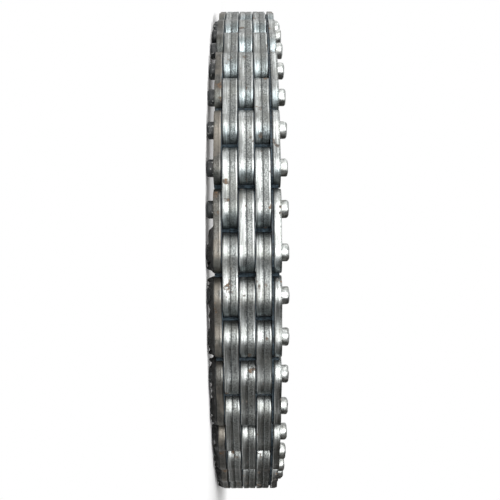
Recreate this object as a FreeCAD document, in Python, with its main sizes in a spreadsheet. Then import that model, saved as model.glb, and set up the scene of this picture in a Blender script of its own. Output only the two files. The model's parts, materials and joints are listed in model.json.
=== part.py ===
import FreeCAD, Part
import math
import os

import Sketcher

# A leaf chain of riveted steel plates, laid on its side as one open ring. It has no rollers: outer
# links of four plates on two riveted pins alternate with inner links of four plates that swing on
# those pins. The pins stand along Z and the lower pin heads lie on the ground plane, Z = 0.
# The origin is the middle of the ring. The front of the ring is at -Y and its opening at +Y.

SIZES = [
    ("pitch", 19.05, "from one pin to the next"),
    ("plate_thickness", 3.3, "one link plate"),
    ("end_gap", 0.94, "between the round ends of two plates in line"),
    ("waist_depth", 1.45, "hollow of a plate's flank below its round ends"),
    ("pin_diameter", 7.94, "riveted pin"),
    ("running_clearance", 0.05, "between a pin and a plate that turns or slides on it, on the radius"),
    ("pair_gap", 0.1, "between the two plates of a pair"),
    ("column_gap", 0.5, "between an outer and an inner column of plates"),
    ("upper_gap", 1.2, "between the upper cover plate and the pair under it"),
    ("head_length", 3.5, "pin beyond a cover plate"),
    ("head_chamfer", 0.8, "edge of a pin head"),
    ("place_count", 44, "pin places round the closed ring"),
    ("open_count", 1, "links that the strand is short of a closed ring"),
]

# a plate's round ends, its flanks' hollow and its two kinds of bore, as radii
END = "(Sizes.pitch - Sizes.end_gap) / 2"
HALF_WAIST = f"({END} - Sizes.waist_depth)"
FLANK = f"((Sizes.pitch / 2)^2 + {HALF_WAIST}^2 - ({END})^2) / (2 * Sizes.waist_depth)"
TURNING_BORE = "Sizes.pin_diameter / 2 + Sizes.running_clearance"
RIVETED_BORE = "Sizes.pin_diameter / 2"

# how a sketch numbers the points of an arc
START, FINISH, CENTRE = range(1, 4)

# each plate of a link: its name, its bore, and the plates, column gaps, pair gaps and upper gaps below it
INNER_STACK = [
    ("inner_plate_low_a", "turning", (1, 1, 0, 0)),
    ("inner_plate_low_b", "turning", (2, 1, 1, 0)),
    ("inner_plate_high_a", "turning", (5, 3, 2, 0)),
    ("inner_plate_high_b", "turning", (6, 3, 3, 0)),
]
OUTER_STACK = [
    ("cover_plate_low", "riveted", (0, 0, 0, 0)),
    ("middle_plate_a", "turning", (3, 2, 1, 0)),
    ("middle_plate_b", "turning", (4, 2, 2, 0)),
    ("cover_plate_high", "riveted", (7, 3, 3, 1)),
]
WHOLE_STACK = (8, 3, 3, 1)


def size_sheet(doc):
    """The driving dimensions in millimetres and the counts, one row each."""
    sheet = doc.addObject("Spreadsheet::Sheet", "Sizes")
    for row, (alias, value, note) in enumerate(SIZES, start=1):
        sheet.set(f"A{row}", alias)
        sheet.set(f"B{row}", str(value))
        sheet.set(f"C{row}", note)
        sheet.setAlias(f"B{row}", alias)
    doc.recompute()
    return sheet


def stack_height(counts):
    """The height above the ground plane of what has these plates and gaps below it."""
    plates, column_gaps, pair_gaps, upper_gaps = counts
    return (
        f"Sizes.head_length + {plates} * Sizes.plate_thickness + {column_gaps} * Sizes.column_gap"
        f" + {pair_gaps} * Sizes.pair_gap + {upper_gaps} * Sizes.upper_gap"
    )


def origin_plane(body, role):
    return next(item for item in body.Origin.OriginFeatures if item.Role == role)


def ground_sketch(body, name):
    sketch = body.newObject("Sketcher::SketchObject", name)
    sketch.AttachmentSupport = [(origin_plane(body, "XY_Plane"), "")]
    sketch.MapMode = "FlatFace"
    return sketch


def arc(centre, radius, start_deg, end_deg):
    """An arc of a circle in the sketch plane, counter-clockwise from start to end."""
    circle = Part.Circle(FreeCAD.Vector(*centre, 0), FreeCAD.Vector(0, 0, 1), radius)
    return Part.ArcOfCircle(circle, math.radians(start_deg), math.radians(end_deg))


def draw_plate(sketch, sheet, bore):
    """The outline of a waisted plate on two pin places, a pitch apart on X, with its two bores.

    Two round ends meet two hollow flanks, and all four arcs are tangent where they meet.
    """
    half_pitch = sheet.pitch / 2
    end_radius = (sheet.pitch - sheet.end_gap) / 2
    half_waist = end_radius - sheet.waist_depth
    flank = (half_pitch**2 + half_waist**2 - end_radius**2) / (2 * sheet.waist_depth)
    lean = math.degrees(math.atan2(half_waist + flank, half_pitch))
    near = sketch.addGeometry(arc((0, 0), end_radius, lean, 360 - lean))
    far = sketch.addGeometry(arc((sheet.pitch, 0), end_radius, lean - 180, 180 - lean))
    upper = sketch.addGeometry(arc((half_pitch, half_waist + flank), flank, 180 + lean, 360 - lean))
    lower = sketch.addGeometry(arc((half_pitch, -half_waist - flank), flank, lean, 180 - lean))
    for one, one_point, other, other_point in (
        (near, START, upper, START),
        (upper, FINISH, far, FINISH),
        (far, START, lower, START),
        (lower, FINISH, near, FINISH),
    ):
        sketch.addConstraint(Sketcher.Constraint("Tangent", one, one_point, other, other_point))
    sketch.addConstraint(Sketcher.Constraint("Coincident", near, CENTRE, -1, START))
    sketch.addConstraint(Sketcher.Constraint("PointOnObject", far, CENTRE, -1))
    sketch.addConstraint(Sketcher.Constraint("Equal", near, far))
    sketch.addConstraint(Sketcher.Constraint("Equal", upper, lower))
    driven = {
        "pitch": (Sketcher.Constraint("DistanceX", near, CENTRE, far, CENTRE, sheet.pitch), "Sizes.pitch"),
        "end": (Sketcher.Constraint("Radius", near, end_radius), END),
        "flank": (Sketcher.Constraint("Radius", upper, flank), FLANK),
    }
    bore_radius = sheet.pin_diameter / 2
    for name, end_arc, x in (("near_bore", near, 0), ("far_bore", far, sheet.pitch)):
        circle = Part.Circle(FreeCAD.Vector(x, 0, 0), FreeCAD.Vector(0, 0, 1), bore_radius)
        hole = sketch.addGeometry(circle)
        sketch.addConstraint(Sketcher.Constraint("Coincident", hole, CENTRE, end_arc, CENTRE))
        driven[name] = (Sketcher.Constraint("Radius", hole, bore_radius), bore)
    for name, (constraint, expression) in driven.items():
        index = sketch.addConstraint(constraint)
        sketch.renameConstraint(index, name)
        sketch.setExpression(f"Constraints.{name}", expression)


def plate_body(doc, sheet, name, bore):
    """One link plate, blanked from strip, lying on the ground plane."""
    body = doc.addObject("PartDesign::Body", name)
    outline = ground_sketch(body, f"{name}_outline")
    draw_plate(outline, sheet, bore)
    doc.recompute()
    pad = body.newObject("PartDesign::Pad", f"{name}_blank")
    pad.Profile = outline
    pad.setExpression("Length", "Sizes.plate_thickness")
    doc.recompute()
    return body


def pin_body(doc, sheet):
    """One riveted pin, through the whole stack, with a chamfered head at each end."""
    body = doc.addObject("PartDesign::Body", "pin")
    section = ground_sketch(body, "pin_section")
    centre = FreeCAD.Vector(0, 0, 0)
    circle = section.addGeometry(Part.Circle(centre, FreeCAD.Vector(0, 0, 1), sheet.pin_diameter / 2))
    section.addConstraint(Sketcher.Constraint("Coincident", circle, CENTRE, -1, START))
    index = section.addConstraint(Sketcher.Constraint("Radius", circle, sheet.pin_diameter / 2))
    section.renameConstraint(index, "shank")
    section.setExpression("Constraints.shank", "Sizes.pin_diameter / 2")
    doc.recompute()
    pad = body.newObject("PartDesign::Pad", "pin_shank")
    pad.Profile = section
    pad.setExpression("Length", f"{stack_height(WHOLE_STACK)} + Sizes.head_length")
    doc.recompute()
    chamfer = body.newObject("PartDesign::Chamfer", "pin_heads")
    rims = [
        f"Edge{number}"
        for number, edge in enumerate(pad.Shape.Edges, start=1)
        if isinstance(edge.Curve, Part.Circle)
    ]
    chamfer.Base = (pad, rims)
    chamfer.setExpression("Size", "Sizes.head_chamfer")
    body.Tip = chamfer
    doc.recompute()
    return body


def placed_copy(doc, body, name, x=None, height=None):
    """A copy of a piece, moved along the link by x and up by height, both expressions."""
    copy = doc.addObject("App::Link", name)
    copy.LinkedObject = body
    copy.LinkTransform = True
    if x:
        copy.setExpression("Placement.Base.x", x)
    if height:
        copy.setExpression("Placement.Base.z", height)
    return copy


def link_assembly(doc, name, stack, plates, pin=None):
    """One whole link at the origin: its plates in their columns, and its two pins if it has them."""
    pieces = [
        placed_copy(doc, plates[bore], plate, height=stack_height(below)) for plate, bore, below in stack
    ]
    if pin:
        pieces.append(placed_copy(doc, pin, "near_pin"))
        pieces.append(placed_copy(doc, pin, "far_pin", x="Sizes.pitch"))
    link = doc.addObject("Part::Compound", name)
    link.Links = pieces
    return link


def ring_link(doc, pattern, label, place):
    """The link from one pin place of the ring to the next, with place 0 at the front."""
    link = doc.addObject("Part::Compound", label)
    link.Label = label
    link.Links = [pattern]
    turn = f"{place} * 360deg / Sizes.place_count"
    radius = "Sizes.pitch / (2 * sin(180deg / Sizes.place_count))"
    link.setExpression("Placement.Base.x", f"{radius} * sin({turn})")
    link.setExpression("Placement.Base.y", f"-{radius} * cos({turn})")
    link.Placement.Rotation.Axis = FreeCAD.Vector(0, 0, 1)
    link.setExpression("Placement.Rotation.Angle", f"{2 * place + 1} * 180deg / Sizes.place_count")
    return link


def chain(doc, sheet):
    """Every link of the strand, from its first end to its last, outer and inner by turns."""
    plates = {
        "turning": plate_body(doc, sheet, "turning_plate", TURNING_BORE),
        "riveted": plate_body(doc, sheet, "riveted_plate", RIVETED_BORE),
    }
    pin = pin_body(doc, sheet)
    outer = link_assembly(doc, "outer_link", OUTER_STACK, plates, pin)
    inner = link_assembly(doc, "inner_link", INNER_STACK, plates)
    doc.recompute()
    link_count = int(sheet.place_count) - int(sheet.open_count)
    first_place = -(int(sheet.place_count) // 2)
    links = []
    for number in range(1, link_count + 1):
        place = first_place + number - 1
        if number % 2:
            links.append(ring_link(doc, inner, f"inner_link_{number:02d}", place))
        else:
            links.append(ring_link(doc, outer, f"outer_link_{number:02d}", place))
    doc.recompute()
    return links


def check(doc, links):
    """Stop if anything in the document failed, or if a link's shape isn't sound."""
    for item in doc.Objects:
        if "Invalid" in item.State or "Error" in item.State:
            raise RuntimeError(f"{item.Label}: {item.State}")
    for link in links:
        if link.Shape.isNull() or not link.Shape.isValid():
            raise RuntimeError(f"{link.Label} has no sound shape")


def export(links):
    os.makedirs("parts", exist_ok=True)
    for link in links:
        Part.makeCompound(link.Shape.Solids).exportStep(f"parts/{link.Label}.step")


def main():
    doc = FreeCAD.newDocument("LeafChain")
    sheet = size_sheet(doc)
    links = chain(doc, sheet)
    check(doc, links)
    export(links)
    pieces = sum(len(link.Shape.Solids) for link in links)
    print(f"{len(links)} links of {pieces} pieces")


main()
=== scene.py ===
import json
import math

import bmesh
import bpy
from mathutils import Matrix, Vector, noise

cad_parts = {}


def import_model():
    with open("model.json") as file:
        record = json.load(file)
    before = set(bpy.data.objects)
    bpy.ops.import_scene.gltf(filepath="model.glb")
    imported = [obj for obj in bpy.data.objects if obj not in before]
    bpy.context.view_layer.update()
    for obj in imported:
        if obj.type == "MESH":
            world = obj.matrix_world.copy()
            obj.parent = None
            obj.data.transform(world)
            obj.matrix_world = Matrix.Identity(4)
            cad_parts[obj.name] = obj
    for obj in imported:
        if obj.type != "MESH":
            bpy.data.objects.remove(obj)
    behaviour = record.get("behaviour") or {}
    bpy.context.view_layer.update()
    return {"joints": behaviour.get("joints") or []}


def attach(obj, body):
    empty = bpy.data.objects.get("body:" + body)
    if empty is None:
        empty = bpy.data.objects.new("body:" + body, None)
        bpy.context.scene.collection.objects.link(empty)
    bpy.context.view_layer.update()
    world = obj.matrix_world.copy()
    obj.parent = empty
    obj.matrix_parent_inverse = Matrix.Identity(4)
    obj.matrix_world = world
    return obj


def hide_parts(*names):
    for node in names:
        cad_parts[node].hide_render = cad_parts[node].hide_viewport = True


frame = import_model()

# every run gets the same dents and lumps
noise.seed_set(1)

# A leaf chain of blanked and riveted steel plates, laid on its side as an open ring.
# Lengths are metres, as in the frame, and MM turns a size in millimetres to metres.
MM = 0.001
PLATE_THICKNESS = 3.3 * MM
END_GAP = 0.94 * MM
WAIST_DEPTH = 1.45 * MM
PIN_RADIUS = 3.97 * MM
BORE_RADIUS = 4.02 * MM
BORE_EDGE = 0.15 * MM
PAIR_GAP = 0.1 * MM
COLUMN_GAP = 0.5 * MM
UPPER_GAP = 1.2 * MM
HEAD_LENGTH = 3.5 * MM
PLAY = math.radians(0.12)

# the riveting hammer's dents: how deep, and how far apart
HAMMER_DENT = 0.3 * MM
HAMMER_FACE = 2.0 * MM

# old grease: films on the plates, and what fills the gaps past the end columns; and lumps of a
# black crust, put in as painted shade
FILM = 0.35 * MM
THICK_FILM = 0.95 * MM
END_BRIDGE = 3.6 * MM
CRUST_LUMP = 2.1 * MM

PLATE_KINDS = ["Smooth plate", "Torn plate"]
PIN_KINDS = ["Pin", "Pin struck twice", "Pin struck askew"]
GREASE_KINDS = ["Bridge", "Long bridge", "End bridge", "Film", "Thick film", "Pair film"]
# the two crusts are black masses put in as painted shade
GREASE_KINDS += ["Crust", "Short crust"]

# A height in the stack is a count of what lies below it:
# plates, gaps between columns, gaps in a pair, and upper gaps.
WHOLE_STACK = (8, 3, 3, 1)
INNER_STACK = [
    ((1, 1, 0, 0), "Smooth plate"),
    ((2, 1, 1, 0), "Torn plate"),
    ((5, 3, 2, 0), "Smooth plate"),
    ((6, 3, 3, 0), "Torn plate"),
]
OUTER_STACK = [
    ((0, 0, 0, 0), "Torn plate"),
    ((3, 2, 1, 0), "Smooth plate"),
    ((4, 2, 2, 0), "Torn plate"),
    ((7, 3, 3, 1), "Smooth plate"),
]

# a link's grease: at its middle or its near pin, at which height, how far below that, and its kind
INNER_GREASE = [
    ("middle", (3, 1, 1, 0), 0.0, "Bridge"),
    ("middle", (1, 1, 0, 0), END_BRIDGE, "End bridge"),
    ("middle", (7, 3, 3, 0), 0.0, "End bridge"),
    ("near", (2, 1, 0, 0), 0.0, "Pair film"),
    ("near", (6, 3, 2, 0), 0.0, "Pair film"),
]
OUTER_GREASE = [
    ("middle", (1, 0, 0, 0), 0.0, "Bridge"),
    ("middle", (5, 2, 2, 0), 0.0, "Long bridge"),
    ("near", (1, 0, 0, 0), 0.0, "Film"),
    ("near", (3, 2, 1, 0), FILM, "Film"),
    ("near", (5, 2, 2, 0), 0.0, "Film"),
    ("near", (7, 3, 3, 1), THICK_FILM, "Thick film"),
    ("near", (4, 2, 1, 0), 0.0, "Pair film"),
]

# A blanked edge from its lower to its upper face:
# share of the thickness, how far it lies in (mm), and how burnished it is.
MOSTLY_BURNISHED = [
    (0.0, 0.30, 0.5), (0.02, 0.16, 0.8), (0.06, 0.06, 1.0), (0.12, 0.01, 1.0), (0.2, 0.0, 1.0),
    (0.45, 0.0, 1.0), (0.7, 0.0, 1.0), (0.74, 0.03, 0.5), (0.78, 0.07, 0.0), (0.88, 0.09, 0.0),
    (0.95, 0.13, 0.0), (0.985, 0.2, 0.3), (1.0, 0.3, 0.6),
]
MOSTLY_TORN = [
    (0.0, 0.26, 0.3), (0.02, 0.17, 0.1), (0.06, 0.12, 0.0), (0.15, 0.09, 0.0), (0.35, 0.07, 0.0),
    (0.55, 0.06, 0.0), (0.7, 0.05, 0.0), (0.75, 0.01, 0.6), (0.8, 0.0, 1.0), (0.87, 0.0, 1.0),
    (0.93, 0.04, 1.0), (0.975, 0.14, 1.0), (1.0, 0.3, 0.8),
]

# a pin's head from its middle outwards: share of the pin's radius, and how far it lies in (mm)
HEAD_PROFILE = [(0.0, 0.05), (0.45, 0.086), (0.72, 0.2), (0.88, 0.422), (0.97, 0.83), (1.0, 1.37)]

# the black crust put in as painted shade, from the plate down: how far it lies in from the plate's
# edge, and its depth (mm)
CRUST_PROFILE = [
    (0.15, 0.0), (0.2, 0.5), (0.4, 1.0), (0.9, 1.4), (1.7, 1.7), (2.8, 1.8), (4.3, 1.8),
]

# settings that many nodes share
RGB = {"data_type": "RGBA"}
NUMBER = {"data_type": "FLOAT"}
SMOOTH = {"interpolation_type": "SMOOTHSTEP"}


def stack_height(counts):
    """The height above the floor of what has these plates and gaps below it."""
    sizes = (PLATE_THICKNESS, COLUMN_GAP, PAIR_GAP, UPPER_GAP)
    return HEAD_LENGTH + sum(count * size for count, size in zip(counts, sizes))


def srgb(code):
    """A hex colour as the linear colour that a shader takes."""
    parts = [int(code[i:i + 2], 16) / 255 for i in (1, 3, 5)]
    return [c / 12.92 if c <= 0.04045 else ((c + 0.055) / 1.055) ** 2.4 for c in parts] + [1.0]


def add(tree, kind, inputs=None, out=0, **settings):
    """Add one node with its settings and links, and give back the output that is wanted."""
    made = tree.nodes.new(kind)
    for name, value in settings.items():
        setattr(made, name, value)
    for key, value in (inputs or {}).items():
        if isinstance(value, bpy.types.NodeSocket):
            tree.links.new(value, made.inputs[key])
        else:
            made.inputs[key].default_value = value
    return made.outputs[out] if made.outputs else None


def new_material(name):
    """A material, its node tree, and the sockets of its shader."""
    material = bpy.data.materials.new(name)
    material.use_nodes = True
    tree = material.node_tree
    return material, tree, tree.nodes["Principled BSDF"].inputs


def pin_places(joints):
    """The pin places along the strand, from its first free hole to its last."""
    found = {}
    for joint in joints:
        lower_link = min(int(part) for part in joint["name"].split("_")[1:])
        found[lower_link] = Vector(joint["pos_m"])
    inside = [found[number] for number in sorted(found)]
    turn = inside[0].xy.angle_signed(inside[1].xy)
    step = Matrix.Rotation(-turn, 3, "Z")
    if (step @ inside[0] - inside[1]).length > MM:
        step = step.inverted()
    return [step.inverted() @ inside[0]] + inside + [step @ inside[-1]]


PLACES = pin_places(frame["joints"])
PITCH = (PLACES[1] - PLACES[0]).length
END_RADIUS = (PITCH - END_GAP) / 2
RING_RADIUS = PLACES[0].xy.length


def hidden_object(name, bm):
    """An object of this mesh that only the trees below copy from."""
    mesh = bpy.data.meshes.new(name)
    bm.to_mesh(mesh)
    bm.free()
    made = bpy.data.objects.new(name, mesh)
    bpy.context.scene.collection.objects.link(made)
    made.hide_render = True
    return made


def plate_outline():
    """Points round a waisted plate, near pin at 0, 0, each with the way out of the metal."""
    half_waist = END_RADIUS - WAIST_DEPTH
    flank = ((PITCH / 2) ** 2 + half_waist**2 - END_RADIUS**2) / (2 * WAIST_DEPTH)
    lean = math.atan2(half_waist + flank, PITCH / 2)
    end_steps, flank_steps = 28, 8
    points = []
    for centre_x, first in ((PITCH, lean - math.pi), (0.0, lean)):
        sweep = 2 * (math.pi - lean)
        for i in range(end_steps):
            angle = first + sweep * i / end_steps
            out = Vector((math.cos(angle), math.sin(angle)))
            points.append((Vector((centre_x, 0)) + END_RADIUS * out, out))
        side = 1 if centre_x else -1
        middle = Vector((PITCH / 2, side * (half_waist + flank)))
        start = -lean if centre_x else math.pi - lean
        for i in range(flank_steps):
            angle = start - (math.pi - 2 * lean) * i / flank_steps
            out = Vector((math.cos(angle), math.sin(angle)))
            points.append((middle + flank * out, -out))
    return points


def blanked_plate(name, edge):
    """A plate as the press leaves it: rolled corners, a burnished and a torn band on its edge.

    Its UV map runs along the cut edge and across its thickness, in metres. The attribute burnish
    says how smooth the metal is, flat is 1 on the two faces that the rolling mill left, and
    far_end grows from 0 at the far pin to 1 at the plate's end.
    """
    bm = bmesh.new()
    burnish = bm.verts.layers.float.new("burnish")
    flat = bm.verts.layers.float.new("flat")
    far_end = bm.verts.layers.float.new("far_end")
    uv = bm.loops.layers.uv.new("strip")
    outline = plate_outline()
    along = [0.0]
    for (p, _), (q, _) in zip(outline, outline[1:] + outline[:1]):
        along.append(along[-1] + (q - p).length)

    rows = []
    for share, inset, smooth in edge:
        row = []
        for point, out in outline:
            vert = bm.verts.new((*(point - inset * MM * out), share * PLATE_THICKNESS))
            vert[burnish] = smooth
            vert[far_end] = min(max((point.x - PITCH) / END_RADIUS, 0.0), 1.0)
            row.append(vert)
        rows.append(row)
    count = len(outline)
    for r in range(len(rows) - 1):
        for i in range(count):
            j = (i + 1) % count
            face = bm.faces.new((rows[r][i], rows[r][j], rows[r + 1][j], rows[r + 1][i]))
            face.smooth = True
            for loop, (a, b) in zip(face.loops, ((i, r), (i + 1, r), (i + 1, r + 1), (i, r + 1))):
                loop[uv].uv = (along[a], edge[b][0] * PLATE_THICKNESS)

    bore_steps = 40
    bore_profile = (
        (0.0, BORE_RADIUS + BORE_EDGE),
        (BORE_EDGE, BORE_RADIUS),
        (PLATE_THICKNESS - BORE_EDGE, BORE_RADIUS),
        (PLATE_THICKNESS, BORE_RADIUS + BORE_EDGE),
    )
    bores = []
    for centre_x in (0.0, PITCH):
        rims = []
        for z, radius in bore_profile:
            rim = []
            for i in range(bore_steps):
                angle = 2 * math.pi * i / bore_steps
                place = (centre_x + radius * math.cos(angle), radius * math.sin(angle), z)
                rim.append(bm.verts.new(place))
                rim[-1][burnish] = 0.8
            rims.append(rim)
        for low, high in zip(rims, rims[1:]):
            for i in range(bore_steps):
                j = (i + 1) % bore_steps
                face = bm.faces.new((low[j], low[i], high[i], high[j]))
                face.smooth = True
                for loop in face.loops:
                    loop[uv].uv = (loop.vert.co.y, loop.vert.co.z)
        bores.append(rims)

    for row, rim, up in ((rows[0], 0, -1), (rows[-1], -1, 1)):
        edges = []
        for ring in [row] + [rims[rim] for rims in bores]:
            edges += [bm.edges.get((a, b)) for a, b in zip(ring, ring[1:] + ring[:1])]
        made = bmesh.ops.triangle_fill(bm, use_beauty=True, edges=edges, normal=(0, 0, up))
        for face in (item for item in made["geom"] if isinstance(item, bmesh.types.BMFace)):
            if face.normal.z * up < 0:
                face.normal_flip()
            for loop in face.loops:
                loop[uv].uv = (loop.vert.co.x, loop.vert.co.y)
                loop.vert[flat] = 1.0
    return hidden_object(name, bm)


def riveted_pin(name, seed):
    """A pin through the whole stack, its two ends upset and dented by the riveting hammer."""
    length = stack_height(WHOLE_STACK) + HEAD_LENGTH
    half = [(radius * PIN_RADIUS, depth * MM) for radius, depth in HEAD_PROFILE]
    rows = half + [(PIN_RADIUS, HEAD_LENGTH)]
    rows += [(radius, length - z) for radius, z in reversed(rows)]
    bm = bmesh.new()
    steps = 40
    rings = []
    for radius, z in rows:
        turns = [2 * math.pi * i / steps for i in range(steps)] if radius else [0.0]
        ring = [bm.verts.new((radius * math.cos(a), radius * math.sin(a), z)) for a in turns]
        rings.append(ring)
    for low, high in zip(rings, rings[1:]):
        for i in range(steps):
            j = (i + 1) % steps
            # the ring at a head's middle is one point, so two of the corners fall together
            corners = [low[i % len(low)], low[j % len(low)]]
            corners += [high[j % len(high)], high[i % len(high)]]
            bm.faces.new(list(dict.fromkeys(corners))).smooth = True

    # only the heads are dented, because the plates turn on the shank
    head = 0.95 * HEAD_LENGTH
    other_blows = Vector((0, 0, 7.0 * seed))
    for vert in bm.verts:
        if not head < vert.co.z < length - head:
            vert.co += HAMMER_DENT * noise.noise_vector(vert.co / HAMMER_FACE + other_blows)
            vert.co.z = min(max(vert.co.z, 0.0), length)
    bmesh.ops.recalc_face_normals(bm, faces=bm.faces)
    return hidden_object(name, bm)


def prism(name, plan, height):
    """A closed solid over a plan that runs anticlockwise."""
    bm = bmesh.new()
    bottom = [bm.verts.new((x, y, 0.0)) for x, y in plan]
    top = [bm.verts.new((x, y, height)) for x, y in plan]
    for i in range(len(plan)):
        j = (i + 1) % len(plan)
        bm.faces.new((bottom[i], bottom[j], top[j], top[i]))
    bm.faces.new(bottom[::-1])
    bm.faces.new(top)
    bmesh.ops.triangulate(bm, faces=[face for face in bm.faces if len(face.verts) > 4])
    return hidden_object(name, bm)


def grease_bridge(name, height):
    """Grease held between two facing plate ends, hollowed by both, with its middle at 0, 0."""
    clear, reach, meniscus, steps = 0.2 * MM, 3.0 * MM, 0.9 * MM, 6
    side = []
    for i in range(steps + 1):
        y = reach * (2 * i / steps - 1)
        side.append((PITCH / 2 - math.sqrt(END_RADIUS**2 - y * y) - clear, y))
    other_side = [(-x, y) for x, y in reversed(side)]
    plan = side + [(0.0, reach - meniscus)] + other_side + [(0.0, meniscus - reach)]
    return prism(name, plan, height)


def grease_layer(name, thickness, inset):
    """Grease on a plate's face with its near pin at 0, 0. It is set back by inset from the plate's
    flanks, and almost flush at its round ends."""
    flush = 0.3 * MM
    plan = []
    for point, out in plate_outline()[::3]:
        plan.append(tuple(point - (flush + (inset - flush) * out.y**2) * out))
    return prism(name, plan, thickness)


def painted_shade_crust(name, begins):
    """A black crust in lumps on a lower cover plate between its pin heads, near pin at 0, 0, shaped
    as caked grease and put in as painted shade. It begins at this share of the pitch and thickens
    over the next tenth."""
    drawn_in, drawn_in_by_lump = 0.4, 1.6
    depth_share, depth_by_lump = 0.55, 2.2
    above_floor = 0.3 * MM
    bm = bmesh.new()
    outline = [(point, out) for point, out in plate_outline() if point.x >= begins * PITCH]
    rings = []
    for inset, depth in CRUST_PROFILE:
        ring = []
        for point, out in outline:
            lump = noise.noise_vector(Vector((*point, inset * MM)) / CRUST_LUMP)
            ragged = min(depth, 1.0) * (drawn_in + drawn_in_by_lump * abs(lump.x))
            plan = point - (inset + ragged) * MM * out
            grown = min(max((plan.x / PITCH - begins) / 0.1, 0.0), 1.0)
            z = HEAD_LENGTH - grown * depth * (depth_share + depth_by_lump * abs(lump.z)) * MM
            ring.append(bm.verts.new((*plan, max(z, above_floor))))
        rings.append(ring)
    for upper, lower in zip(rings, rings[1:]):
        for i in range(len(outline)):
            j = (i + 1) % len(outline)
            bm.faces.new((lower[i], lower[j], upper[j], upper[i])).smooth = True
    bm.faces.new(rings[0])
    bm.faces.new(rings[-1][::-1])
    bmesh.ops.triangulate(bm, faces=[face for face in bm.faces if len(face.verts) > 4])
    return hidden_object(name, bm)


def seating_tree(name, kinds):
    """Geometry nodes that set a piece on each seat of its kind, with a real one's play and tone."""
    tree = bpy.data.node_groups.new(name, "GeometryNodeTree")
    sockets = tree.interface
    sockets.new_socket("Seats", in_out="INPUT", socket_type="NodeSocketGeometry")
    for kind in kinds:
        sockets.new_socket(kind, in_out="INPUT", socket_type="NodeSocketObject")
    sockets.new_socket("Finish", in_out="INPUT", socket_type="NodeSocketMaterial")
    sockets.new_socket("Play", in_out="INPUT", socket_type="NodeSocketFloat")
    sockets.new_socket("Seed", in_out="INPUT", socket_type="NodeSocketInt")
    sockets.new_socket("Pieces", in_out="OUTPUT", socket_type="NodeSocketGeometry")
    given = add(tree, "NodeGroupInput").node.outputs
    turn = add(tree, "GeometryNodeInputNamedAttribute", {"Name": "turn"}, **NUMBER)
    sort = add(tree, "GeometryNodeInputNamedAttribute", {"Name": "kind"}, **NUMBER)
    least = add(tree, "ShaderNodeMath", {0: 0.0, 1: given["Play"]}, operation="SUBTRACT")
    play = {2: least, 3: given["Play"], "Seed": given["Seed"]}
    play = add(tree, "FunctionNodeRandomValue", play, out=1)
    turned = add(tree, "ShaderNodeMath", {0: turn, 1: play}, operation="ADD")
    turned = add(tree, "ShaderNodeCombineXYZ", {"Z": turned})
    turned = add(tree, "FunctionNodeEulerToRotation", {0: turned})
    joined = add(tree, "GeometryNodeJoinGeometry")
    for number, kind in enumerate(kinds):
        chosen = {0: sort, 1: float(number), 2: 0.1}
        chosen = add(tree, "ShaderNodeMath", chosen, operation="COMPARE")
        piece = {"Object": given[kind], "As Instance": True}
        piece = add(tree, "GeometryNodeObjectInfo", piece, out="Geometry")
        seat = {"Points": given["Seats"], "Selection": chosen}
        seat |= {"Instance": piece, "Rotation": turned}
        tree.links.new(add(tree, "GeometryNodeInstanceOnPoints", seat), joined.node.inputs[0])
    tone = {2: 0.0, 3: 1.0, "Seed": given["Seed"]}
    tone = add(tree, "FunctionNodeRandomValue", tone, out=1)
    toned = {"Geometry": joined, "Name": "tone", "Value": tone}
    toned = add(tree, "GeometryNodeStoreNamedAttribute", toned, domain="INSTANCE", **NUMBER)
    real = add(tree, "GeometryNodeRealizeInstances", {0: toned})
    finished = {"Geometry": real, "Material": given["Finish"]}
    finished = add(tree, "GeometryNodeSetMaterial", finished)
    add(tree, "NodeGroupOutput", {"Pieces": finished})
    return tree


def seated(name, tree, seats, values):
    """The plain mesh object that a tree makes on these seats: position, turn about Z, and kind."""
    mesh = bpy.data.meshes.new(name)
    mesh.from_pydata([seat[0] for seat in seats], [], [])
    for column, attribute in ((1, "turn"), (2, "kind")):
        layer = mesh.attributes.new(attribute, "FLOAT", "POINT")
        layer.data.foreach_set("value", [float(seat[column]) for seat in seats])
    host = bpy.data.objects.new(name + ".seats", mesh)
    bpy.context.scene.collection.objects.link(host)
    modifier = host.modifiers.new("pieces", "NODES")
    modifier.node_group = tree
    for item in tree.interface.items_tree:
        if item.name in values:
            modifier[item.identifier] = values[item.name]
    bpy.context.view_layer.update()
    evaluated = host.evaluated_get(bpy.context.evaluated_depsgraph_get())
    made = bpy.data.objects.new(name, bpy.data.meshes.new_from_object(evaluated))
    bpy.context.scene.collection.objects.link(made)
    bpy.data.objects.remove(host)
    return made


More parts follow.
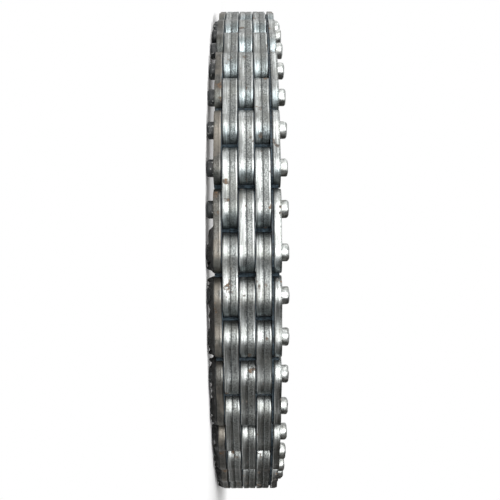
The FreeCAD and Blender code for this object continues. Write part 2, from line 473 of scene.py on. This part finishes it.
def steel_plate(name, bright, torn):
    """Hardened carbon steel plate, blanked from rolled strip and left oiled. The eye sees grey
    steel with a satin band where the punch burnished the edge, a matt speckled band where it tore,
    and freckles of rust. A blue tint is painted round the far end as shade, and the lowest plates
    are browned by grime and darkened as painted shade.

    The grain of a torn edge is 0.1 mm, the punch's drag lines are 0.05 mm wide and the scratches
    0.03 mm. All are too fine to show, so they are drawn 0.7, 0.8 and 0.4 mm wide.
    """
    material, tree, shader = new_material(name)
    place = add(tree, "ShaderNodeTexCoord", out="Object")
    height = add(tree, "ShaderNodeSeparateXYZ", {0: place}, out="Z")
    strip = add(tree, "ShaderNodeUVMap", uv_map="strip")
    tone = add(tree, "ShaderNodeAttribute", out="Fac", attribute_name="tone")
    burnish = add(tree, "ShaderNodeAttribute", out="Fac", attribute_name="burnish")
    flat = add(tree, "ShaderNodeAttribute", out="Fac", attribute_name="flat")
    far_end = add(tree, "ShaderNodeAttribute", out="Fac", attribute_name="far_end")

    # every plate's pattern starts somewhere else, and drawn lines are 20 times as long as wide
    spread = {0: (0.37, 0.53, 0.71), "Scale": tone}
    spread = add(tree, "ShaderNodeVectorMath", spread, operation="SCALE")
    own = add(tree, "ShaderNodeVectorMath", {0: strip, 1: spread}, operation="ADD")
    drawn_out = add(tree, "ShaderNodeMapping", {"Vector": own, "Scale": (0.05, 1.0, 1.0)})

    # oily patches 9 mm across, torn grain, drag lines and scratches
    clouds = {"Vector": place, "Scale": 1 / (9 * MM), "Detail": 3.0, "Roughness": 0.55}
    clouds = add(tree, "ShaderNodeTexNoise", clouds, out="Fac")
    grain = {"Vector": own, "Scale": 1 / (0.7 * MM), "Detail": 3.0, "Roughness": 0.7}
    grain = add(tree, "ShaderNodeTexNoise", grain, out="Fac")
    drag = {"Vector": drawn_out, "Scale": 1 / (0.8 * MM), "Detail": 2.0, "Roughness": 0.6}
    drag = add(tree, "ShaderNodeTexNoise", drag, out="Fac")
    scratches = {"Vector": drawn_out, "Scale": 1 / (0.4 * MM), "Detail": 1.0, "Roughness": 0.5}
    scratches = add(tree, "ShaderNodeTexNoise", scratches, out="Fac")

    # the torn band, dark in its pits
    pits = {"Value": grain, "From Min": 0.4, "From Max": 0.6}
    pits = add(tree, "ShaderNodeMapRange", pits, **SMOOTH)
    torn_colour = {0: pits, 6: srgb("#4A4C4B"), 7: srgb(torn)}
    torn_colour = add(tree, "ShaderNodeMix", torn_colour, out=2, **RGB)

    # the burnished band, dark along its drag lines and in a few worn pits
    lines = {"Value": drag, "From Min": 0.35, "From Max": 0.65}
    lines = add(tree, "ShaderNodeMapRange", lines, **SMOOTH)
    smooth_colour = {0: lines, 6: srgb("#6C6E6D"), 7: srgb(bright)}
    smooth_colour = add(tree, "ShaderNodeMix", smooth_colour, out=2, **RGB)
    worn = {"Value": grain, "From Min": 0.5, "From Max": 0.36}
    worn = add(tree, "ShaderNodeMapRange", worn, **SMOOTH)
    worn = add(tree, "ShaderNodeMath", {0: worn, 1: 0.55}, operation="MULTIPLY")
    smooth_colour = {0: worn, 6: smooth_colour, 7: srgb("#585A59")}
    smooth_colour = add(tree, "ShaderNodeMix", smooth_colour, out=2, **RGB)

    # the faces, clouded by the rolling mill
    milled = {"Value": clouds, "From Min": 0.35, "From Max": 0.65}
    milled = add(tree, "ShaderNodeMapRange", milled, **SMOOTH)
    mill_colour = {0: milled, 6: srgb("#4B4D4C"), 7: srgb("#7F817F")}
    mill_colour = add(tree, "ShaderNodeMix", mill_colour, out=2, **RGB)
    steel = {0: burnish, 6: torn_colour, 7: smooth_colour}
    steel = add(tree, "ShaderNodeMix", steel, out=2, **RGB)
    steel = add(tree, "ShaderNodeMix", {0: flat, 6: steel, 7: mill_colour}, out=2, **RGB)

    # old oil dulls the steel in patches, and no two plates came out of the bath alike
    dull = {"Value": clouds, "From Min": 0.42, "From Max": 0.66}
    dull = add(tree, "ShaderNodeMapRange", dull, **SMOOTH)
    dulled = add(tree, "ShaderNodeMath", {0: dull, 1: 0.45}, operation="MULTIPLY")
    steel = add(tree, "ShaderNodeMix", {0: dulled, 6: steel, 7: srgb("#5D5D58")}, out=2, **RGB)
    darker = add(tree, "ShaderNodeMath", {0: tone, 1: 0.25}, operation="MULTIPLY")
    steel = add(tree, "ShaderNodeMix", {0: darker, 6: steel, 7: srgb("#515250")}, out=2, **RGB)

    # the lowest plates browned and darkened: brown grime, and painted shade of the side nearest the
    # floor
    grime_and_painted_shade = {"Value": height, "From Min": 7.1 * MM, "From Max": 6.9 * MM, "To Max": 0.75}
    grime_and_painted_shade = add(tree, "ShaderNodeMapRange", grime_and_painted_shade, **SMOOTH)
    shade = {"Value": clouds, "From Min": 0.4, "From Max": 0.6}
    shade = add(tree, "ShaderNodeMapRange", shade, **SMOOTH)
    grime_and_shade_colour = {0: shade, 6: srgb("#36332E"), 7: srgb("#605A52")}
    grime_and_shade_colour = add(tree, "ShaderNodeMix", grime_and_shade_colour, out=2, **RGB)
    steel = add(tree, "ShaderNodeMix", {0: grime_and_painted_shade, 6: steel, 7: grime_and_shade_colour}, out=2, **RGB)

    # rust in spots about 2 mm across, left in the hollows of a pattern of 8 mm
    rust = {"Vector": own, "Scale": 1 / (7.7 * MM), "Detail": 5.0, "Roughness": 0.62}
    rust = add(tree, "ShaderNodeTexNoise", rust, out="Fac")
    rust = {"Value": rust, "From Min": 0.6, "From Max": 0.65}
    rust = add(tree, "ShaderNodeMapRange", rust, **SMOOTH)
    core = {"Vector": own, "Scale": 1 / (1.1 * MM), "Detail": 4.0, "Roughness": 0.55}
    core = add(tree, "ShaderNodeTexNoise", core, out="Fac")
    core = {"Value": core, "From Min": 0.4, "From Max": 0.65}
    core = add(tree, "ShaderNodeMapRange", core, **SMOOTH)
    rust_colour = {0: core, 6: srgb("#1C1209"), 7: srgb("#4E3412")}
    rust_colour = add(tree, "ShaderNodeMix", rust_colour, out=2, **RGB)
    cover = add(tree, "ShaderNodeMath", {0: rust, 1: 0.85}, operation="MULTIPLY")
    steel = add(tree, "ShaderNodeMix", {0: cover, 6: steel, 7: rust_colour}, out=2, **RGB)

    # painted shade: a blue tint multiplied in round the far end, patchy with the clouds
    far_end_shade = add(tree, "ShaderNodeMath", {0: far_end, 1: clouds}, operation="ADD")
    far_end_shade = {"Value": far_end_shade, "From Min": 0.65, "From Max": 1.25}
    far_end_shade = add(tree, "ShaderNodeMapRange", far_end_shade, **SMOOTH)
    far_end_shade_tint = {0: far_end_shade, 6: steel, 7: srgb("#E9F2F7")}
    steel = add(tree, "ShaderNodeMix", far_end_shade_tint, out=2, blend_type="MULTIPLY", **RGB)
    tree.links.new(steel, shader["Base Color"])

    # a burnished band is smoother than a torn one, and oil and rust are rougher than both
    rough = add(tree, "ShaderNodeMix", {0: drag, 2: 0.46, 3: 0.35}, **NUMBER)
    rough = add(tree, "ShaderNodeMix", {0: burnish, 2: 0.4, 3: rough}, **NUMBER)
    dulled = add(tree, "ShaderNodeMath", {0: dull, 1: 0.4}, operation="MULTIPLY")
    rough = add(tree, "ShaderNodeMix", {0: dulled, 2: rough, 3: 0.5}, **NUMBER)
    rough = add(tree, "ShaderNodeMix", {0: rust, 2: rough, 3: 0.8}, **NUMBER)
    tree.links.new(rough, shader["Roughness"])
    metal = add(tree, "ShaderNodeMix", {0: burnish, 2: 0.95, 3: 1.0}, **NUMBER)
    metal = add(tree, "ShaderNodeMix", {0: rust, 2: metal, 3: 0.1}, **NUMBER)
    tree.links.new(metal, shader["Metallic"])

    relief = add(tree, "ShaderNodeMath", {0: drag, 1: 0.36}, operation="MULTIPLY")
    relief = {0: grain, 1: 0.35, 2: relief}
    relief = add(tree, "ShaderNodeMath", relief, operation="MULTIPLY_ADD")
    relief = add(tree, "ShaderNodeMix", {0: burnish, 2: grain, 3: relief}, **NUMBER)
    relief = {0: scratches, 1: 0.15, 2: relief}
    relief = add(tree, "ShaderNodeMath", relief, operation="MULTIPLY_ADD")
    relief = {"Strength": 0.6, "Distance": 0.12 * MM, "Height": relief}
    tree.links.new(add(tree, "ShaderNodeBump", relief), shader["Normal"])
    return material


def pin_steel():
    """Drawn and hardened pin steel, its ends hammered over. The eye sees bright heads with small
    dents 1.4 mm across and oily stains of 4 mm. The lower heads are painted black as shade."""
    material, tree, shader = new_material("riveted_pin_steel")
    place = add(tree, "ShaderNodeTexCoord", out="Object")
    height = add(tree, "ShaderNodeSeparateXYZ", {0: place}, out="Z")
    dents = {"Vector": place, "Scale": 1 / (1.4 * MM), "Detail": 2.0, "Roughness": 0.55}
    dents = add(tree, "ShaderNodeTexNoise", dents, out="Fac")
    stain = {"Vector": place, "Scale": 1 / (4 * MM), "Detail": 4.0, "Roughness": 0.55}
    stain = add(tree, "ShaderNodeTexNoise", stain, out="Fac")
    stain = {"Value": stain, "From Min": 0.45, "From Max": 0.7}
    stain = add(tree, "ShaderNodeMapRange", stain, **SMOOTH)
    struck = {"Value": dents, "From Min": 0.3, "From Max": 0.7}
    struck = add(tree, "ShaderNodeMapRange", struck, **SMOOTH)
    steel = {0: struck, 6: srgb("#767978"), 7: srgb("#A6A8A6")}
    steel = add(tree, "ShaderNodeMix", steel, out=2, **RGB)
    cover = add(tree, "ShaderNodeMath", {0: stain, 1: 0.6}, operation="MULTIPLY")
    steel = add(tree, "ShaderNodeMix", {0: cover, 6: steel, 7: srgb("#5C5B54")}, out=2, **RGB)

    # painted shade: the lower heads are painted black, but for the tops of their dents
    low = {"Value": height, "From Min": 5.5 * MM, "From Max": 3.6 * MM}
    low = add(tree, "ShaderNodeMapRange", low, **SMOOTH)
    hollow = {"Value": dents, "From Min": 0.68, "From Max": 0.6}
    hollow = add(tree, "ShaderNodeMapRange", hollow, **SMOOTH)
    grime_and_painted_shade = add(tree, "ShaderNodeMath", {0: low, 1: hollow}, operation="MULTIPLY")
    steel = add(tree, "ShaderNodeMix", {0: grime_and_painted_shade, 6: steel, 7: srgb("#111416")}, out=2, **RGB)
    tree.links.new(steel, shader["Base Color"])
    rough = add(tree, "ShaderNodeMix", {0: stain, 2: 0.4, 3: 0.52}, **NUMBER)
    tree.links.new(rough, shader["Roughness"])
    metal = add(tree, "ShaderNodeMix", {0: grime_and_painted_shade, 2: 1.0, 3: 0.0}, **NUMBER)
    tree.links.new(metal, shader["Metallic"])
    relief = {"Strength": 0.5, "Distance": 0.2 * MM, "Height": dents}
    tree.links.new(add(tree, "ShaderNodeBump", relief), shader["Normal"])
    return material


def old_grease():
    """Chain grease gone black with worn steel. The eye sees it blue-black in lumps of about 1 mm,
    glossy where it is wet, and painted dead black as shade where it lies under the lower cover
    plates.

    Its IOR is set below that of grease, so that it mirrors less and looks darker.
    """
    material, tree, shader = new_material("old_chain_grease")
    place = add(tree, "ShaderNodeTexCoord", out="Object")
    lumps = {"Vector": place, "Scale": 1 / (1.1 * MM), "Detail": 3.0, "Roughness": 0.55}
    lumps = add(tree, "ShaderNodeTexNoise", lumps, out="Fac")
    shade = {"Value": lumps, "From Min": 0.35, "From Max": 0.65}
    shade = add(tree, "ShaderNodeMapRange", shade, **SMOOTH)
    black = {0: shade, 6: srgb("#151A1E"), 7: srgb("#2E3940")}
    black = add(tree, "ShaderNodeMix", black, out=2, **RGB)
    height = add(tree, "ShaderNodeSeparateXYZ", {0: place}, out="Z")
    # painted shade: below the tops of the lower pin heads the grease is painted dead black
    painted_black_shade = {"Value": height, "From Min": 3.6 * MM, "From Max": 3.4 * MM}
    painted_black_shade = add(tree, "ShaderNodeMapRange", painted_black_shade)
    black = add(tree, "ShaderNodeMix", {0: painted_black_shade, 6: black, 7: srgb("#0C0C0B")}, out=2, **RGB)
    tree.links.new(black, shader["Base Color"])
    rough = add(tree, "ShaderNodeMix", {0: lumps, 2: 0.3, 3: 0.6}, **NUMBER)
    tree.links.new(rough, shader["Roughness"])
    relief = {"Strength": 0.8, "Distance": 0.3 * MM, "Height": lumps}
    tree.links.new(add(tree, "ShaderNodeBump", relief), shader["Normal"])
    shader["IOR"].default_value = 1.3
    return material


def grease_seats(near, far, turn, outer):
    """Where a link's grease sits, as seats for the tree."""
    middle = (near + far) / 2
    seats = []
    for where, counts, drop, kind in OUTER_GREASE if outer else INNER_GREASE:
        at = middle if where == "middle" else near
        z = stack_height(counts) - drop
        seats.append(((at.x, at.y, z), turn, GREASE_KINDS.index(kind)))

    # a black crust shaped as caked grease, put in as painted shade, from the +X side's front link
    # on
    if outer and middle.x > -PITCH / 2:
        front_link = middle.x < PITCH / 2 and middle.y < 0
        kind = "Short crust" if front_link else "Crust"
        seats.append(((near.x, near.y, 0.0), turn, GREASE_KINDS.index(kind)))
    return seats


def link_pieces(number, tools):
    """The plates of one link, and its pins if it is an outer one, in place of the plain ones."""
    near, far = PLACES[number - 1], PLACES[number]
    turn = math.atan2(far.y - near.y, far.x - near.x)
    outer = number % 2 == 0
    body = f"{'outer' if outer else 'inner'}_link_{number:02d}"

    seats = []
    for counts, kind in OUTER_STACK if outer else INNER_STACK:
        seats.append(((near.x, near.y, stack_height(counts)), turn, PLATE_KINDS.index(kind)))
    values = {kind: tools[kind] for kind in PLATE_KINDS}
    values |= {"Finish": tools["outer_steel" if outer else "inner_steel"]}
    values |= {"Play": PLAY, "Seed": number}
    made = [seated(f"{body}.plates", tools["plate_tree"], seats, values)]

    # each pin is another kind than its neighbours and is turned by another angle
    if outer:
        near_kind = number // 2 % len(PIN_KINDS)
        far_kind = (number // 2 + 1) % len(PIN_KINDS)
        seats = [
            ((near.x, near.y, 0.0), turn + number, near_kind),
            ((far.x, far.y, 0.0), turn - number, far_kind),
        ]
        values = {kind: tools[kind] for kind in PIN_KINDS}
        values |= {"Finish": tools["pin_steel"], "Seed": number}
        made.append(seated(f"{body}.pins", tools["pin_tree"], seats, values))
    for piece in made:
        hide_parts(body)

    values = {kind: tools[kind] for kind in GREASE_KINDS}
    values |= {"Finish": tools["grease"], "Seed": number}
    seats = grease_seats(near, far, turn, outer)
    made.append(seated(f"{body}.grease", tools["grease_tree"], seats, values))
    for piece in made:
        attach(piece, body)


def chain():
    """Every link, set from one of each shape and one of each finish."""
    between_columns = 2 * PLATE_THICKNESS + PAIR_GAP + COLUMN_GAP
    tools = {
        "plate_tree": seating_tree("seat_plates", PLATE_KINDS),
        "pin_tree": seating_tree("seat_pins", PIN_KINDS),
        "grease_tree": seating_tree("seat_grease", GREASE_KINDS),
        "Bridge": grease_bridge("bridge", between_columns + COLUMN_GAP),
        "Long bridge": grease_bridge("long_bridge", between_columns + UPPER_GAP),
        "End bridge": grease_bridge("end_bridge", END_BRIDGE),
        "Film": grease_layer("film", FILM, 0.8 * MM),
        "Thick film": grease_layer("thick_film", THICK_FILM, 1.5 * MM),
        "Pair film": grease_layer("pair_film", PAIR_GAP, 0.4 * MM),
        "Crust": painted_shade_crust("crust", -1.0),
        "Short crust": painted_shade_crust("short_crust", 0.4),
        "grease": old_grease(),
        "Smooth plate": blanked_plate("smooth_plate", MOSTLY_BURNISHED),
        "Torn plate": blanked_plate("torn_plate", MOSTLY_TORN),
        **{kind: riveted_pin(kind, seed) for seed, kind in enumerate(PIN_KINDS)},
        "outer_steel": steel_plate("outer_plate_steel", "#ABAEAD", "#808382"),
        "inner_steel": steel_plate("inner_plate_steel", "#A4A7A6", "#7B7E7D"),
        "pin_steel": pin_steel(),
    }
    for number in range(1, len(PLACES)):
        link_pieces(number, tools)
    for kind in PLATE_KINDS + PIN_KINDS + GREASE_KINDS:
        bpy.data.objects.remove(tools[kind])


def seen_ray(tree):
    """1 for the rays that the eye sees straight, in a mirror or through glass, and 0 for what
    lights."""
    rays = add(tree, "ShaderNodeLightPath").node.outputs
    seen = {0: rays["Is Camera Ray"], 1: rays["Is Glossy Ray"]}
    seen = add(tree, "ShaderNodeMath", seen, operation="MAXIMUM")
    seen = {0: seen, 1: rays["Is Transmission Ray"]}
    return add(tree, "ShaderNodeMath", seen, operation="MAXIMUM")


def floor():
    """A table of matt white lacquered board, wide enough to reach past every view. It keeps the
    chain's shadow near the chain, and further out it is as white to the eye as the room."""
    reach = 6.0
    mesh = bpy.data.meshes.new("floor")
    corners = [(-reach, -reach, 0), (reach, -reach, 0), (reach, reach, 0), (-reach, reach, 0)]
    mesh.from_pydata(corners, [], [(0, 1, 2, 3)])
    table = bpy.data.objects.new("floor", mesh)
    bpy.context.scene.collection.objects.link(table)
    material, tree, shader = new_material("white_table")
    shader["Base Color"].default_value = srgb("#F6F6F6")
    shader["Roughness"].default_value = 0.9
    place = add(tree, "ShaderNodeTexCoord", out="Object")
    away = add(tree, "ShaderNodeVectorMath", {0: place}, out="Value", operation="LENGTH")
    white = {"Value": away, "From Min": 1.1 * RING_RADIUS, "From Max": 1.7 * RING_RADIUS}
    white = add(tree, "ShaderNodeMapRange", white, **SMOOTH)
    seen = add(tree, "ShaderNodeMath", {0: white, 1: seen_ray(tree)}, operation="MULTIPLY")
    glow = add(tree, "ShaderNodeEmission", {"Color": srgb("#FFFFFF"), "Strength": 1.0})
    board = tree.nodes["Principled BSDF"].outputs[0]
    cover = add(tree, "ShaderNodeMixShader", {0: seen, 1: board, 2: glow})
    tree.links.new(cover, tree.nodes["Material Output"].inputs["Surface"])
    mesh.materials.append(material)


def dark_card():
    """A card bent round the ring's +X side, out of every view, that the metal there mirrors.

    It is covered with matt flock cloth, which the eye would see as blue-black at its near end and
    as warm black behind.
    """
    plan = [(0.42, -1.15), (0.28, -0.62), (0.25, -0.1), (0.29, 0.3), (0.25, 1.0)]
    low, high = 0.002, 1.2
    mesh = bpy.data.meshes.new("dark_card")
    corners = [(x, y, z) for x, y in plan for z in (low, high)]
    faces = [(i, i + 2, i + 3, i + 1) for i in range(0, 2 * len(plan) - 2, 2)]
    mesh.from_pydata(corners, [], faces)
    card = bpy.data.objects.new("dark_card", mesh)
    bpy.context.scene.collection.objects.link(card)
    material, tree, shader = new_material("black_card")
    place = add(tree, "ShaderNodeTexCoord", out="Object")
    depth = add(tree, "ShaderNodeSeparateXYZ", {0: place}, out="Y")
    back = {"Value": depth, "From Min": -0.55, "From Max": -0.25}
    back = add(tree, "ShaderNodeMapRange", back)
    cloth = {0: back, 6: srgb("#15232D"), 7: srgb("#28231B")}
    cloth = add(tree, "ShaderNodeMix", cloth, out=2, **RGB)
    tree.links.new(cloth, shader["Base Color"])
    shader["Roughness"].default_value = 1.0
    mesh.materials.append(material)
    card.visible_camera = False


def area_lamp(name, place, size, power):
    """A white rectangular lamp, turned to the middle of the ring's front. The metal mirrors it, and
    the eye doesn't see it straight."""
    front = Vector((0.0, -0.13, 0.018))
    lamp = bpy.data.lights.new(name, "AREA")
    lamp.shape = "RECTANGLE"
    lamp.size, lamp.size_y = size
    lamp.energy = power
    made = bpy.data.objects.new(name, lamp)
    made.location = place
    made.rotation_euler = (front - Vector(place)).to_track_quat("-Z", "Y").to_euler()
    made.visible_camera = False
    bpy.context.scene.collection.objects.link(made)


def world():
    """A white room as the eye and the metal see it, which lights the rest more gently."""
    room = bpy.data.worlds.new("room")
    bpy.context.scene.world = room
    room.use_nodes = True
    tree = room.node_tree
    background = tree.nodes["Background"].inputs
    strength = add(tree, "ShaderNodeMix", {0: seen_ray(tree), 2: 0.3, 3: 1.0}, **NUMBER)
    tree.links.new(strength, background["Strength"])
    background["Color"].default_value = srgb("#FFFFFF")


def camera():
    """In front of the ring and level with it, turned a quarter so that +Z is to the picture's
    right."""
    distance = 3.25 * RING_RADIUS
    height = 19.2 * MM
    swing = math.radians(-0.49)
    roll = math.radians(0.45)
    picture_pixels, focal_pixels, film = 500, 686, 36.0
    lens = bpy.data.cameras.new("camera")
    lens.sensor_width = film
    lens.lens = film * focal_pixels / picture_pixels
    lens.clip_start = 0.01
    eye = bpy.data.objects.new("camera", lens)
    bpy.context.scene.collection.objects.link(eye)
    ahead = Vector((-math.sin(swing), math.cos(swing), 0))
    up = Matrix.Rotation(roll, 3, ahead) @ Vector((-math.cos(swing), -math.sin(swing), 0))
    right = ahead.cross(up)
    turned = Matrix((right, up, -ahead)).transposed().to_4x4()
    place = Vector((0, 0, height)) - distance * ahead
    eye.matrix_world = Matrix.Translation(place) @ turned
    bpy.context.scene.camera = eye


camera()
chain()
floor()
dark_card()
world()

# place, width and height in metres, and watts
area_lamp("window", (-0.165, -1.0, 0.27), (0.93, 0.5), 16.5)
area_lamp("skylight", (-0.8, -0.62, 0.27), (0.75, 0.5), 2.8)
area_lamp("ceiling", (-0.95, 0.0, 0.3), (0.6, 0.5), 2.8)
area_lamp("right", (-0.12, -0.5, 0.75), (0.65, 0.5), 3.8)
bpy.context.scene.view_settings.view_transform = "Standard"
